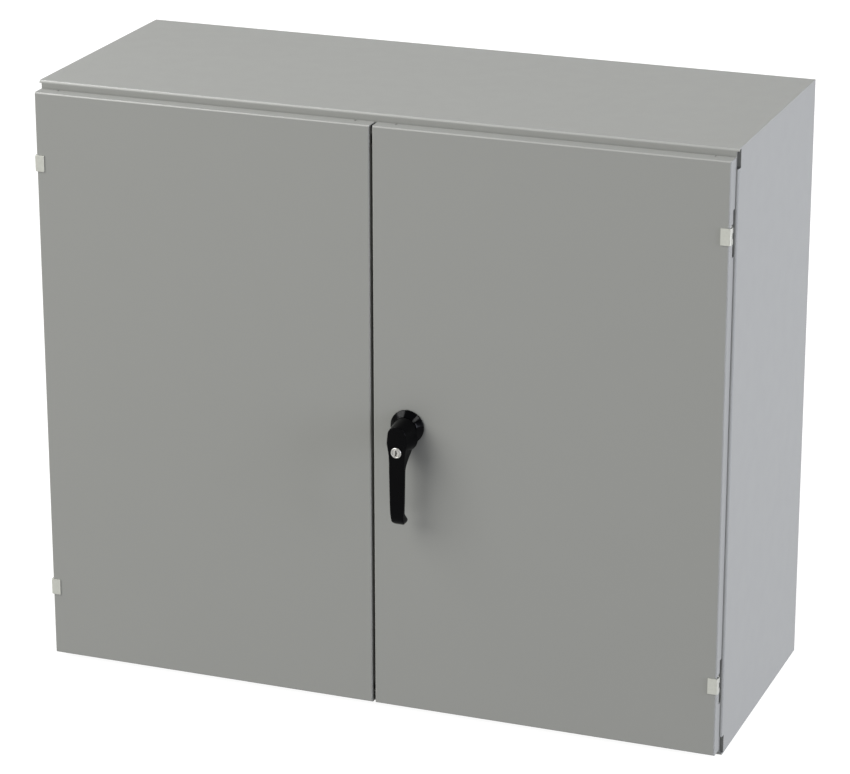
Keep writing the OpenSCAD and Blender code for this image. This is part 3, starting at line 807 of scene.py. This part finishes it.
@dataclass
class Handle:
    """Locking L-handle on the right door. Sizes run from its axis, and out from the door's face."""

    base_rim: float = 25.7
    base_top: float = 18.0
    base_height: float = 12.0
    barrel: float = 11.9
    seal_rim: float = 25.0
    back_top: float = 18.0
    back_low: float = 20.8
    back_drop: float = 13.0
    front_top: float = 14.0
    front_low: float = 15.2
    front_drop: float = 12.0
    head_back: float = 12.5
    head_front: float = 46.5
    head_round: float = 1.5
    crown: float = 0.5
    grip_round: float = 1.5
    cast_voxel: float = 0.55
    lock_face: float = 48.5
    lock_radius: float = 8.0
    lock_rear: float = 24.5
    plug_radius: float = 5.7
    plug_rear: float = 27.9
    slot_width: float = 2.2
    slot_length: float = 8.5
    slot_depth: float = 6.0

    # distance from the axis along the lever, half width, front and back distance from the door
    grip_stations: tuple[tuple[float, float, float, float], ...] = (
        (-4, 13.6, 45.5, 15.5), (-12, 14.8, 46.4, 14.0), (-19, 14.2, 46.5, 12.9),
        (-25, 13.2, 46.5, 13.0), (-30, 12.5, 46.5, 14.6), (-34, 12.2, 46.5, 19.0),
        (-38, 12.0, 46.5, 24.8), (-43, 11.9, 46.5, 31.0), (-48, 11.8, 46.5, 36.4),
        (-53, 11.8, 46.5, 38.6), (-62, 11.7, 46.5, 38.8), (-84, 11.3, 46.5, 38.8),
        (-104, 10.9, 46.5, 38.8), (-117, 10.5, 46.5, 38.8), (-120.5, 10.3, 46.5, 38.2),
        (-125, 9.9, 46.2, 33.8), (-129, 9.7, 45.4, 29.4), (-132.5, 9.5, 44.0, 25.6),
        (-134.8, 9.3, 42.2, 23.8), (-137.2, 8.7, 39.2, 22.9), (-139.4, 7.5, 36.0, 22.9),
        (-140.8, 6.0, 33.0, 24.0),
    )

    def axis(self) -> Matrix:
        """Place on the handle's axis, at the door's face."""
        return seat(Facing.FORWARD, box_mm("spindle"), box_mm("handle_seal")[1].y)

    def head_ring(self, share: float, inset: float, out: float, count: int = 72) -> list[Vector]:
        """One outline of the head.

        Args:
            share: 0 at the back of the head, 1 at its front.
            inset: How far inside the cone the outline lies.
            out: Distance from the door.
            count: Points in the outline.

        Returns:
            The outline round two circles, as a belt would lie on them.
        """
        top = self.back_top + (self.front_top - self.back_top) * share - inset
        low = self.back_low + (self.front_low - self.back_low) * share - inset
        drop = self.back_drop + (self.front_drop - self.back_drop) * share
        ring = []
        for i in range(count):
            turn = math.tau * i / count
            on_low = low - drop * math.sin(turn) > top
            radius, centre = (low, -drop) if on_low else (top, 0.0)
            ring.append(Vector((radius * math.cos(turn), centre + radius * math.sin(turn), out)))
        return ring

    def head(self) -> Shape:
        """Conical head of the lever with a rounded front edge.

        Returns:
            The head, standing on the door with its axis along Z.
        """
        depth = self.head_front - self.head_back
        round_start = 1 - self.head_round / depth
        rings = [
            self.head_ring(0.0, 0.6, self.head_back),
            self.head_ring(0.02, 0.0, self.head_back + 0.6),
        ]
        rings += [
            self.head_ring(s * round_start / 8, 0.0, self.head_back + depth * s * round_start / 8)
            for s in range(1, 9)
        ]
        for angle in range(15, 91, 15):
            inset = self.head_round * (1 - math.cos(math.radians(angle)))
            rise = self.head_round * math.sin(math.radians(angle)) - self.crown * angle / 90
            rings.append(self.head_ring(1.0, inset, self.head_front - self.head_round + rise))
        for inset, rise in ((5.0, 0.25), (8.0, 0.4), (11.5, 0.5)):
            rings.append(self.head_ring(1.0, inset, self.head_front - self.crown + rise))
        return loft(rings)

    def grip(self) -> Shape:
        """Grip that runs down from the head and turns back to the door at its tip.

        Returns:
            The grip, in the frame of the head.
        """
        rings = []
        for along, half, front, back in self.grip_stations:
            section = round_rectangle((-half, back), (half, front), (self.grip_round,) * 4, 5)
            rings.append([Vector((across, along, out)) for across, out in section])
        return loft(rings)

    def lever(self) -> Shape:
        """Head and grip cast in one, with the bore for the lock.

        Returns:
            The casting.
        """
        lock_drop = self.lock_drop()
        bore = lathe([(self.lock_radius + 0.1, self.lock_rear), (self.lock_radius + 0.1, 60.0)])
        blended = worked(self.head(), [
            fused(self.grip()),
            ("REMESH", {"mode": "VOXEL", "voxel_size": self.cast_voxel}),
            ("SMOOTH", {"iterations": 3, "factor": 0.5}),
        ])
        return worked(blended, [less(bore.moved(Matrix.Translation((0, -lock_drop, 0))))])

    def lock_drop(self) -> float:
        """How far the lock's axis lies below the handle's."""
        spindle, plug = box_mm("spindle"), box_mm("lock_plug")
        return (spindle[0].z + spindle[1].z - sum(c.z for c in plug)) / 2

    def base(self) -> Shape:
        """Round base with a rolled rim, and the threaded barrel behind it.

        Returns:
            The base with its barrel.
        """
        outside: list[Point2] = [(self.base_rim - 0.6, 1.0), (self.base_rim, 1.6), (self.base_rim, 2.6)]
        outside += arc((self.base_rim - 1.2, 2.8), 1.2, 0, 55, 4)
        outside += [(self.base_top + 1.6, self.base_height - 2.1)]
        outside += [(self.base_top + 0.9, self.base_height - 0.9), (self.base_top, self.base_height)]
        barrel: list[Point2] = [(7.1, self.base_height), (7.1, -31.0), (self.barrel - 1.0, -31.0)]
        level = -30.0
        while level < -2.0:
            barrel += [(self.barrel, level), (self.barrel - 0.7, level + 0.75)]
            level += 1.5
        barrel += [(self.barrel, 0.0), (self.barrel, 1.0)]
        return lathe(outside + barrel, closed=True, segments=96)

    def seal(self) -> Shape:
        """Flat ring between the base and the door.

        Returns:
            The ring.
        """
        rim = self.seal_rim
        return lathe(
            [(12.3, 0.02), (rim - 0.3, 0.02), (rim, 0.3), (rim, 0.7), (rim - 0.3, 0.98), (12.3, 0.98)],
            closed=True,
        )

    def housing(self) -> Shape:
        """Sleeve of the lock with a polished chamfer round its face.

        Returns:
            The sleeve.
        """
        r, face = self.lock_radius, self.lock_face
        bore = self.plug_radius + 0.1
        return lathe([
            (r, self.lock_rear), (r, face - 1.0), (r - 0.25, face - 0.45), (r - 0.8, face - 0.08),
            (r - 1.1, face), (bore + 0.35, face), (bore, face - 0.35), (bore, self.plug_rear - 0.2),
            (bore - 2.0, self.plug_rear - 0.3), (bore - 2.0, self.lock_rear),
        ], closed=True, segments=96)

    def plug(self) -> Shape:
        """Plug of the lock, dished round its keyhole.

        Returns:
            The plug, cut for the key.
        """
        r, face = self.plug_radius, self.lock_face
        turned = lathe([
            (r - 0.4, self.plug_rear), (r, self.plug_rear + 0.4), (r, face - 0.5),
            (r - 0.45, face - 0.1), (r - 1.0, face - 0.1), (r - 1.8, face - 0.45), (1.6, face - 0.6),
        ], segments=64)
        half = self.slot_length / 2
        slot = prism(
            round_rectangle((-self.slot_width / 2, -half), (self.slot_width / 2, half), (0.7,) * 4, 4),
            face - self.slot_depth, face + 2.0,
        )
        ward = prism(
            round_rectangle((-0.2, -1.2), (self.slot_width / 2 + 0.9, 1.2), (0.3,) * 4, 3),
            face - self.slot_depth, face + 2.0,
        )
        return worked(turned, [less(slot), less(ward)])

    def build(self) -> None:
        """Builds the handle with its base, seal, nut and lock."""
        lock = Matrix.Translation((0, -self.lock_drop(), 0))
        add_piece("lever_casting", self.lever().moved(self.axis()), "lever")
        add_piece("handle_base_casting", self.base().moved(self.axis()), "handle_base")
        add_piece("handle_seal_ring", self.seal().moved(self.axis()), "handle_seal")
        add_piece("lock_sleeve", self.housing().moved(self.axis() @ lock), "lock_housing")
        add_piece("lock_cylinder", self.plug().moved(self.axis() @ lock), "lock_plug")
        low, high = box_mm("handle_nut")
        nut = hex_nut((high.x - low.x) / 2, high.y - low.y, 11.96, 0.6)
        add_piece("handle_ring_nut", nut.moved(seat(Facing.BACK, (low, high), low.y)), "handle_nut", 0.2)


@dataclass
class Gasket:
    """Poured foam bead round the inside of a door. Radius at the middle of the bead."""

    corner: float = 16.0
    corner_steps: int = 10
    half: float = 5.0
    dome: float = 2.6

    def bead(self, node: str) -> Shape:
        """The bead in the space its CAD ring holds.

        Args:
            node: The gasket's node.

        Returns:
            A domed strip laid round the door.
        """
        low, high = box_mm(node)
        half, height = self.half, high.y - low.y
        section = [(-half, 0.0), (-half * 0.99, height * 0.22)]
        across = (-0.93, -0.78, -0.56, -0.3, 0.0, 0.3, 0.56, 0.78, 0.93)
        section += [(x * half, height * (1 - 0.8 * abs(x) ** self.dome)) for x in across]
        section += [(half * 0.99, height * 0.22), (half, 0.0)]
        r = self.corner
        path = round_rectangle(
            (low.x + half, low.z + half), (high.x - half, high.z - half), (r,) * 4, self.corner_steps
        )
        rings = []
        for i, (x, z) in enumerate(path):
            corner, step = divmod(i, self.corner_steps + 1)
            turn = math.radians(180 + 90 * corner + 90 * step / self.corner_steps)
            out = Vector((math.cos(turn), math.sin(turn)))
            rings.append([Vector((x + out.x * s, low.y + h, z + out.y * s)) for s, h in section])
        return loft(rings, capped=False)

    def build(self) -> None:
        """Builds both doors' gaskets."""
        for side in ("left", "right"):
            add_piece(f"{side}_foam_bead", self.bead(f"{side}_gasket"), f"{side}_gasket")


@dataclass
class DrawingPocket:
    """Moulded tray for drawings on the left door."""

    wall: float = 2.4
    corner: float = 9.0
    dip_from: float = 0.3
    dip_depth: float = 0.3

    def tray(self) -> Shape:
        """The open tray, drafted for the mould, with a rolled rim and a dip to grip the papers.

        Returns:
            The tray.
        """
        low, high = box_mm("document_pocket")
        tall = high.z - low.z
        # height share, inset of sides and front, inset of back
        levels = (
            (0.0, 8.0, 3.0), (0.003, 6.2, 1.4), (0.012, 4.8, 0.4), (0.03, 4.2, 0.0), (0.955, 1.7, 0.0),
            (0.962, 0.3, 0.0), (0.985, 0.0, 0.0), (0.997, 0.5, 0.4), (1.0, 1.4, 1.0), (1.0, 2.6, 1.9),
            (0.99, 3.3, 2.3), (0.96, 1.7 + self.wall, self.wall), (0.04, 4.2 + self.wall, self.wall),
            (0.022, 5.6 + self.wall, self.wall + 1.2), (0.016, 8.0 + self.wall, self.wall + 3.5),
        )
        rings = []
        for share, side, back in levels:
            outline = round_rectangle(
                (low.x + side, low.y + back), (high.x - side, high.y - side),
                (2.0, 2.0, self.corner, self.corner), 6,
            )
            rings.append([Vector((x, y, low.z + tall * share)) for x, y in outline])
        tray = loft(rings)
        wide = high.x - low.x
        x0, x1 = low.x + wide * self.dip_from, high.x - wide * self.dip_from
        z0, z1 = high.z - tall * self.dip_depth, high.z + 5.0
        dip = [(x0 - 14.0, z1), (x0 - 6.0, high.z - 4.0)]
        dip += arc((x0 + 22.0, z0 + 18.0), 18.0, 190, 270, 8)
        dip += arc((x1 - 22.0, z0 + 18.0), 18.0, 270, 350, 8)
        dip += [(x1 + 6.0, high.z - 4.0), (x1 + 14.0, z1)]
        reach = ((low.y + high.y) / 2, high.y + 3.0)
        cutter = loft([[Vector((x, y, z)) for x, z in dip] for y in reach])
        return worked(tray, [less(cutter)])

    def build(self) -> None:
        """Builds the tray."""
        add_piece("drawing_tray", self.tray(), "document_pocket", 0.4)


@dataclass
class Fasteners:
    """Studs, nuts, washers, screws and hinge pins."""

    panel_stud: float = 4.75
    panel_shoulder: float = 8.75
    panel_sheet: float = 2.7
    stud_pitch: float = 1.6
    ground_pitch: float = 1.25

    def gathered(self, node: str, build_one: Callable[[Vector, Vector], Shape]) -> Shape:
        """Builds one shape at each solid of a node.

        Args:
            node: The node with several solids.
            build_one: Makes the shape at one solid from its two corners.

        Returns:
            All of them as one shape.
        """
        whole = Shape([], [])
        for low, high in solids_of(node):
            whole = whole + build_one(low, high)
        return whole

    def panel_stud_at(self, low: Vector, high: Vector) -> Shape:
        """Stud welded to the back, with its shoulder and thread.

        Args:
            low: The solid's lowest corner.
            high: The solid's highest corner.

        Returns:
            The stud.
        """
        thread = threaded_bar(self.panel_stud, high.y - low.y, self.stud_pitch)
        # the collar reaches from the back to the rear of the panel
        collar_long = high.y - box_mm("panel_washers")[1].y - self.panel_sheet
        r = self.panel_shoulder
        collar = lathe([(r, 0.0), (r, collar_long - 1.0), (r - 1.0, collar_long)])
        place = seat(Facing.FORWARD, (low, high), high.y)
        return thread.moved(place) + collar.moved(place)

    def washer_at(self, low: Vector, high: Vector) -> Shape:
        """Pressed washer with one rounded edge.

        Args:
            low: The solid's lowest corner.
            high: The solid's highest corner.

        Returns:
            The washer.
        """
        r, t = (high.x - low.x) / 2, high.y - low.y
        bore = self.panel_stud + 0.3
        turned = lathe([
            (bore, 0.0), (r - 0.2, 0.0), (r, 0.25), (r, t - 0.6), (r - 0.5, t),
            (bore + 0.2, t), (bore, t - 0.2),
        ], closed=True)
        return turned.moved(seat(Facing.FORWARD, (low, high), high.y))

    def panel_nut_at(self, low: Vector, high: Vector) -> Shape:
        """Nut on a panel stud."""
        nut = hex_nut((high.x - low.x) / 2, high.y - low.y, self.panel_stud + 0.06)
        return nut.moved(seat(Facing.FORWARD, (low, high), high.y))

    def hinge_pin_at(self, low: Vector, high: Vector) -> Shape:
        """Hinge pin with a domed head, dropped in from above.

        Args:
            low: The solid's lowest corner.
            high: The solid's highest corner.

        Returns:
            The pin.
        """
        head = (high.x - low.x) / 2
        shank, tall, thick = head - 1.2, high.z - low.z, 1.5
        turned = lathe([
            (shank - 0.8, 0.0), (shank, 0.8), (shank, tall - thick), (head, tall - thick),
            (head, tall - 0.9), (head - 0.5, tall - 0.35), (head - 1.6, tall),
        ], segments=48)
        return turned.moved(Matrix.Translation(((low.x + high.x) / 2, (low.y + high.y) / 2, low.z)))

    def post_screw_at(self, low: Vector, high: Vector) -> Shape:
        """Screw and nut that hold the centre post.

        Args:
            low: The solid's lowest corner.
            high: The solid's highest corner.

        Returns:
            The screw with its nut.
        """
        radius, shank, head, nut_tall = (high.x - low.x) / 2, 3.0, 2.0, 4.5
        # the nut stands short of the screw's end, by what the end sticks out
        over = 1.5
        reach = high.y - low.y
        screw = threaded_bar(shank, reach, 1.0, 0.5)
        cap = lathe([(radius, 0.0), (radius, 0.8), (radius - 0.6, 1.6), (radius - 2.0, head)])
        place = seat(Facing.BACK, (low, high), low.y)
        flip = seat(Facing.FORWARD, (low, high), low.y + head)
        nut = hex_nut(radius, nut_tall, shank + 0.02).moved(
            seat(Facing.BACK, (low, high), high.y - nut_tall - over))
        return screw.moved(place) + cap.moved(flip) + nut

    def ground_nut_at(self, low: Vector, high: Vector) -> Shape:
        """Brass nut with its washer on the body's ground stud.

        Args:
            low: The solid's lowest corner.
            high: The solid's highest corner.

        Returns:
            The nut on its washer.
        """
        washer, tall = 1.5, high.x - low.x
        turned = lathe([
            (4.2, 0.0), (8.8, 0.0), (9.0, 0.3), (9.0, 1.2), (8.8, washer), (4.2, washer),
        ], closed=True)
        nut = hex_nut(7.5, tall - washer, 4.06).moved(Matrix.Translation((0, 0, washer)))
        place = axis_place(Facing.RIGHT, low.x, (low.y + high.y) / 2, (low.z + high.z) / 2)
        return (turned + nut).moved(place)

    def build(self) -> None:
        """Builds every fastener."""
        for name, node, build_one, edge_mm in (
            ("panel_stud_set", "panel_studs", self.panel_stud_at, 0.0),
            ("panel_washer_set", "panel_washers", self.washer_at, 0.0),
            ("panel_nut_set", "panel_nuts", self.panel_nut_at, 0.15),
            ("hinge_pin_set", "hinge_pins", self.hinge_pin_at, 0.0),
            ("post_screw_set", "post_screws", self.post_screw_at, 0.0),
            ("ground_nut_and_washer", "ground_nut", self.ground_nut_at, 0.15),
        ):
            add_piece(name, self.gathered(node, build_one), node, edge_mm)
        low, high = box_mm("ground_stud")
        stud = threaded_bar((high.z - low.z) / 2, high.x - low.x, self.ground_pitch)
        add_piece("ground_stud_thread", stud.moved(
            axis_place(Facing.RIGHT, low.x, (low.y + high.y) / 2, (low.z + high.z) / 2)), "ground_stud")
        for side in ("left", "right"):
            low, high = box_mm(f"{side}_ground_stud")
            stud = threaded_bar((high.x - low.x) / 2, high.y - low.y, 1.0)
            place = seat(Facing.BACK, (low, high), low.y)
            add_piece(f"{side}_door_ground_stud", stud.moved(place), f"{side}_ground_stud")


@dataclass
class RodLatch:
    """Rollers, pins and cam screw of the rod latch inside the right door."""

    bore: float = 2.56
    pin: float = 2.5
    cam_pin: float = 4.0
    cam_cap: float = 1.5

    def roller(self, node: str) -> Shape:
        """Turned nylon roller with crowned tread and a recess on each side.

        Args:
            node: The roller's node.

        Returns:
            The roller.
        """
        low, high = box_mm(node)
        r, half = (high.z - low.z) / 2, (high.x - low.x) / 2
        profile: list[Point2] = [
            (self.bore, -half), (self.bore + 1.4, -half), (self.bore + 1.8, -half + 0.5),
            (r - 2.0, -half + 0.5), (r - 1.6, -half), (r - 0.8, -half), (r - 0.15, -half + 0.6),
            (r, 0.0),
        ]
        whole = profile + [(radius, -h) for radius, h in reversed(profile[:-1])]
        turned = lathe(whole, closed=True)
        return turned.moved(seat(Facing.RIGHT, (low, high)))

    def rivet(self, node: str) -> Shape:
        """Pin with two riveted heads.

        Args:
            node: The pin's node.

        Returns:
            The pin.
        """
        low, high = box_mm(node)
        head, half = (high.z - low.z) / 2, (high.x - low.x) / 2
        side: list[Point2] = [
            (head - 1.6, half), (head - 0.5, half - 0.3), (head, half - 0.9),
            (head, half - 1.5), (self.pin, half - 1.5),
        ]
        whole = [(r, -h) for r, h in side] + [(r, h) for r, h in reversed(side)]
        return lathe(whole, segments=48).moved(seat(Facing.RIGHT, (low, high)))

    def cam_pins(self) -> Shape:
        """The two pins that carry the rods, with their caps.

        Returns:
            Both pins.
        """
        whole = Shape([], [])
        for low, high in solids_of("cam_pins"):
            head, reach = (high.x - low.x) / 2, high.y - low.y
            r, cap = self.cam_pin, self.cam_cap
            turned = lathe([
                (r - 0.4, 0.0), (r, 0.4), (r, reach - cap), (head, reach - cap), (head, reach - 0.7),
                (head - 0.5, reach - 0.15), (head - 1.4, reach),
            ], segments=48)
            whole = whole + turned.moved(seat(Facing.BACK, (low, high), low.y))
        return whole

    def cam_screw(self) -> Shape:
        """Hexagon screw that holds the cam plate.

        Returns:
            The screw.
        """
        low, high = box_mm("cam_screw")
        radius, head = (high.x - low.x) / 2, 4.0
        reach = high.y - low.y
        shank = threaded_bar(2.95, reach - head + 0.5, 1.0, 0.4)
        cap = hex_nut(radius, head, 1.0)
        fill = lathe([(1.8, 0.0), (1.8, head - 0.5)], segments=24)
        on_plate = seat(Facing.BACK, (low, high), high.y - head)
        shank_place = seat(Facing.FORWARD, (low, high), high.y - head + 0.5)
        return shank.moved(shank_place) + cap.moved(on_plate) + fill.moved(on_plate)

    def build(self) -> None:
        """Builds the latch's turned parts."""
        for end in ("upper", "lower"):
            add_piece(f"{end}_latch_roller", self.roller(f"{end}_roller"), f"{end}_roller")
            add_piece(f"{end}_roller_rivet", self.rivet(f"{end}_roller_pin"), f"{end}_roller_pin")
        add_piece("cam_pin_pair", self.cam_pins(), "cam_pins")
        add_piece("cam_hex_screw", self.cam_screw(), "cam_screw")


@dataclass
class SlideBolt:
    """Flat bolt with a turned knob, top and bottom of the left door."""

    thick: float = 5.0
    stem: float = 4.0
    knob: float = 7.0
    knob_start: float = 6.0

    def bolt(self, node: str) -> Shape:
        """The bolt in the space of its CAD node.

        Args:
            node: The bolt's node.

        Returns:
            Bar with an eased nose, stem and grooved knob.
        """
        low, high = box_mm(node)
        outline = round_rectangle((low.x, low.z), (high.x, high.z), (2.2,) * 4, 5)
        bar = loft([[Vector((x, y, z)) for x, z in outline] for y in (low.y, low.y + self.thick)])
        tall = high.y - low.y - self.thick
        groove = [(self.knob, h) for h in (self.knob_start + 0.8, self.knob_start + 2.2)]
        level = self.knob_start + 2.2
        while level < tall - 2.6:
            groove += [(self.knob - 0.5, level + 0.35), (self.knob, level + 0.9)]
            level += 0.9
        r, start = self.knob, self.knob_start
        profile = [(self.stem, -1.0), (self.stem, start - 0.6), (self.stem + 0.6, start)]
        profile += [(r - 0.8, start)] + groove
        profile += [(r - 0.25, tall - 1.0), (r - 1.2, tall - 0.2), (r - 3.0, tall)]
        knob = lathe(profile, segments=56)
        place = seat(Facing.BACK, (low, high), low.y + self.thick)
        return worked(bar, [("BEVEL", {"width": 0.5, "segments": 2})]) + knob.moved(place)

    def build(self) -> None:
        """Builds both bolts."""
        for end in ("upper", "lower"):
            add_piece(f"left_{end}_slide_bolt", self.bolt(f"left_{end}_bolt"), f"left_{end}_bolt")


@dataclass
class Studio:
    """White floor, soft light and the camera."""

    floor_half: float = 60.0
    camera_at: tuple[float, float, float] = (1.7645, -4.8587, 1.7413)
    camera_turn: tuple[float, float, float] = (70.497, 0.045, 20.788)
    lens_mm: float = 147.55
    sensor_mm: float = 36.0
    paper_glow: float = 0.93
    sky_strength: float = 0.42
    aim: tuple[float, float, float] = (0.0, -0.2, 0.0)

    def softbox(
        self,
        name: str,
        at: tuple[float, float, float],
        size: float,
        watts: float,
        colour: str = "#ffffff",
        card: bool = False,
    ) -> bpy.types.Object:
        """Adds a square softbox that looks at the cabinet.

        Args:
            name: The light's name.
            at: Where it hangs, in metres.
            size: Side of the square, in metres.
            watts: Its power.
            colour: Colour of its light.
            card: Whether it only shows as a reflection in glossy surfaces.

        Returns:
            The light's object.
        """
        light = bpy.data.lights.new(name, "AREA")
        light.shape = "SQUARE"
        light.size = size
        light.energy = watts
        light.color = linear(colour)[:3]
        lamp = bpy.data.objects.new(name, light)
        lamp.location = at
        lamp.visible_camera = False
        lamp.visible_diffuse = not card
        sight = Vector(self.aim) - Vector(at)
        lamp.rotation_euler = sight.to_track_quat("-Z", "Y").to_euler()
        bpy.context.scene.collection.objects.link(lamp)
        return lamp

    def floor(self) -> None:
        """Lays the pale floor under the cabinet."""
        half = self.floor_half
        level = CAD_BOX[0].z
        mesh = bpy.data.meshes.new("studio_floor")
        sides = ((-half, -half), (half, -half), (half, half), (-half, half))
        corners = [(x, y, level) for x, y in sides]
        mesh.from_pydata(corners, [], [(0, 1, 2, 3)])
        paper = Coat("lit_white_paper", {
            "Roughness": 0.9,
            "Specular IOR Level": 0.1,
            "Emission Color": linear("#ffffff"),
            "Emission Strength": self.paper_glow,
        })
        paper.colour_between("#6c6c6c", "#6e6e6e", paper.cloud(400.0))
        mesh.materials.append(paper.material)
        floor = bpy.data.objects.new("studio_floor", mesh)
        floor.visible_diffuse = False
        bpy.context.scene.collection.objects.link(floor)

    def sky(self) -> None:
        """Fills the room with even white light."""
        world = bpy.data.worlds.new("white_room")
        world.use_nodes = True
        back = world.node_tree.nodes["Background"]
        back.inputs["Color"].default_value = linear("#ffffff")
        back.inputs["Strength"].default_value = self.sky_strength
        bpy.context.scene.world = world

    def camera(self) -> None:
        """Sets up the camera."""
        data = bpy.data.cameras.new("camera")
        data.lens = self.lens_mm
        data.sensor_width = self.sensor_mm
        camera = bpy.data.objects.new("camera", data)
        camera.location = self.camera_at
        camera.rotation_euler = [math.radians(a) for a in self.camera_turn]
        bpy.context.scene.collection.objects.link(camera)
        bpy.context.scene.camera = camera

    def build(self) -> None:
        """Builds the studio."""
        bpy.context.scene.view_settings.view_transform = "Standard"
        self.camera()
        self.floor()
        self.sky()
        self.softbox("key_upper_left", (-5.1, -5.6, 5.2), 7.0, 930.0, "#fffefa")
        self.softbox("fill_right", (7.0, -0.9, 1.3), 3.4, 520.0, "#ecefff")
        self.softbox("top_light", (0.3, 0.2, 4.2), 1.8, 40.0)
        back_light = self.softbox("back_light", (-1.5, 6.5, 2.0), 3.0, 220.0)
        back_light.visible_glossy = False
        self.softbox("reflection_left", (-3.3, 0.1, 3.1), 3.4, 420.0, card=True)
        self.softbox("reflection_right", (2.95, -2.2, 2.95), 1.1, 60.0, card=True)


def main() -> None:
    """Builds the studio, then every part of the cabinet."""
    logging.basicConfig(level=logging.INFO, format="%(message)s")
    Studio().build()
    SheetMetal().build()
    Handle().build()
    Gasket().build()
    DrawingPocket().build()
    Fasteners().build()
    RodLatch().build()
    SlideBolt().build()


if __name__ == "__main__":
    main()
